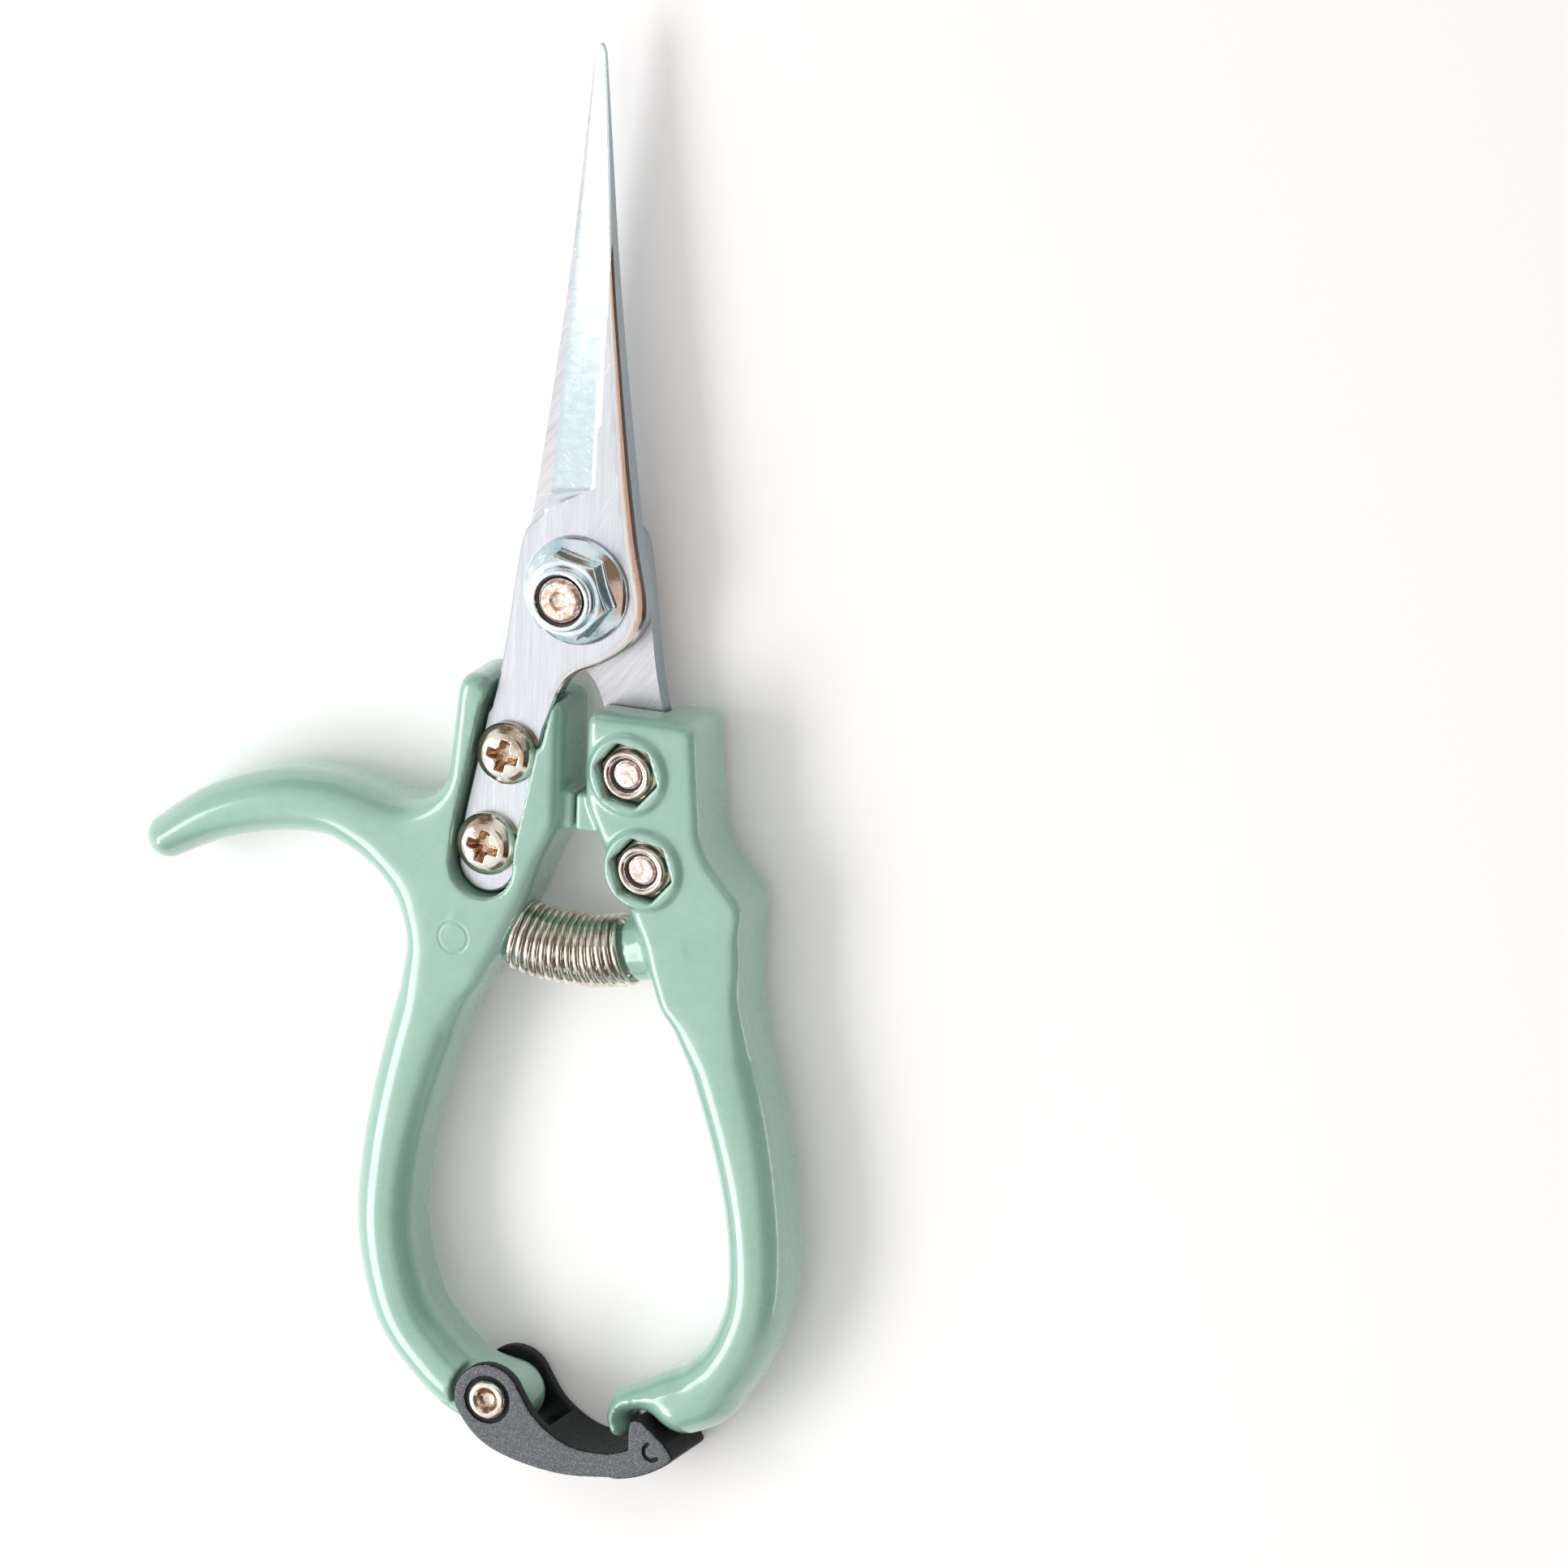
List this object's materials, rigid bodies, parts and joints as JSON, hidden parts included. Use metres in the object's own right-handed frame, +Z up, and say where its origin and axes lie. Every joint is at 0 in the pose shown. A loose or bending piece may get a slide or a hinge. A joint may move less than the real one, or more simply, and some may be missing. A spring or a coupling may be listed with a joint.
{
  "type": "needle-nose garden snips",
  "caption": "Spring-loaded garden snips with long straight pointed blades, cast loop handles, a curved thumb hook and a swinging latch that holds them shut.",
  "frame": {"origin": "on the pivot axis, at the back face of the pivot bolt's head, where the tool rests", "axes": "+Y from the pivot to the blade tips, +Z up towards the pivot nut, +X towards the palm handle"},
  "size_m": [0.09, 0.1878, 0.0154],
  "materials": {
    "handle_paint": "mint green gloss paint on a casting",
    "blade_steel": "brushed lengthwise, ground edge",
    "bolt_nickel": "bright nickel plate",
    "nut_zinc": "bright zinc plate",
    "spring_nickel": "drawn wire, nickel plate",
    "latch_plastic": "grained black, moulded",
    "nylon": "dark nylon ring"
  },
  "bodies": {
    "thumb_side": {"thumb_handle": "handle_paint", "front_blade": "blade_steel", "pivot_bolt": "bolt_nickel", "pivot_nut": "nut_zinc", "pivot_nut_insert": "nylon", "return_spring": "spring_nickel", "latch_rivet": "bolt_nickel", "front_tang_screw_1": "bolt_nickel", "front_tang_screw_2": "bolt_nickel", "front_tang_nut_1": "bolt_nickel", "front_tang_nut_2": "bolt_nickel", "front_tang_nut_insert_1": "nylon", "front_tang_nut_insert_2": "nylon"},
    "palm_side": {"palm_handle": "handle_paint", "back_blade": "blade_steel", "back_tang_screw_1": "bolt_nickel", "back_tang_screw_2": "bolt_nickel", "back_tang_nut_1": "bolt_nickel", "back_tang_nut_2": "bolt_nickel", "back_tang_nut_insert_1": "nylon", "back_tang_nut_insert_2": "nylon"},
    "latch": {"latch": "latch_plastic"}
  },
  "joints": [
    {"name": "blade_pivot", "type": "hinge", "parent": "thumb_side", "child": "palm_side", "pos_m": [0, 0, 0.0063], "axis": [0, 0, 1], "range_deg": [0, 28], "deforming": ["return_spring"]},
    {"name": "latch_pivot", "type": "hinge", "parent": "thumb_side", "child": "latch", "pos_m": [-0.0082, -0.1081, 0.0063], "axis": [0, 0, -1], "range_deg": [0, 55]}
  ]
}
